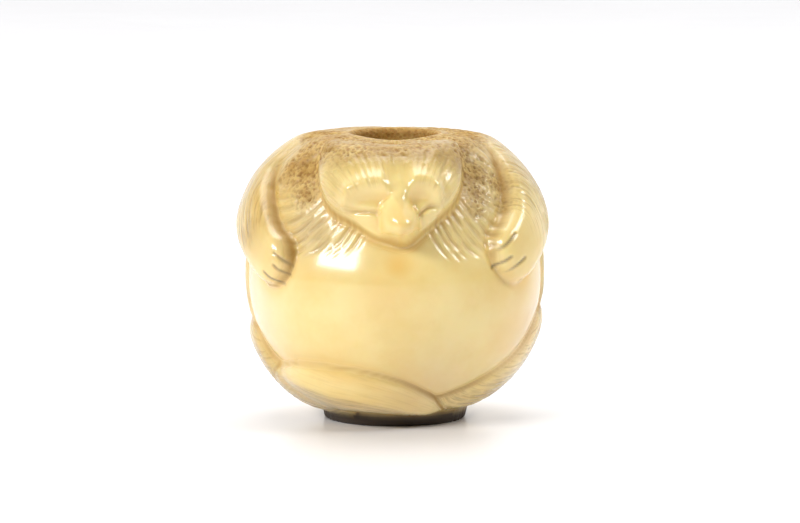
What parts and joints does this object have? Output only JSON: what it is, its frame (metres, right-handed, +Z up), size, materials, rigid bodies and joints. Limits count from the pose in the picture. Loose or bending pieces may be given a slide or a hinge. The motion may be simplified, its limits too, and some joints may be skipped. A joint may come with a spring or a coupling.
{
  "type": "carved ojime bead",
  "caption": "Round carved antler bead, a raccoon dog hugging its belly, with a vertical cord hole, flat on top and underneath.",
  "frame": {"origin": "middle of the bead's outer box, on the surface that it stands on", "axes": "+Z up along the cord hole, -Y out of the animal's nose, +X to the right of someone facing it"},
  "size_m": [0.018, 0.0186, 0.0166],
  "materials": {
    "stag_antler": "polished stag antler, honey cream, spongy and brown round the top hole"
  },
  "bodies": {
    "root": {"tanuki_bead": "stag_antler"}
  },
  "joints": []
}
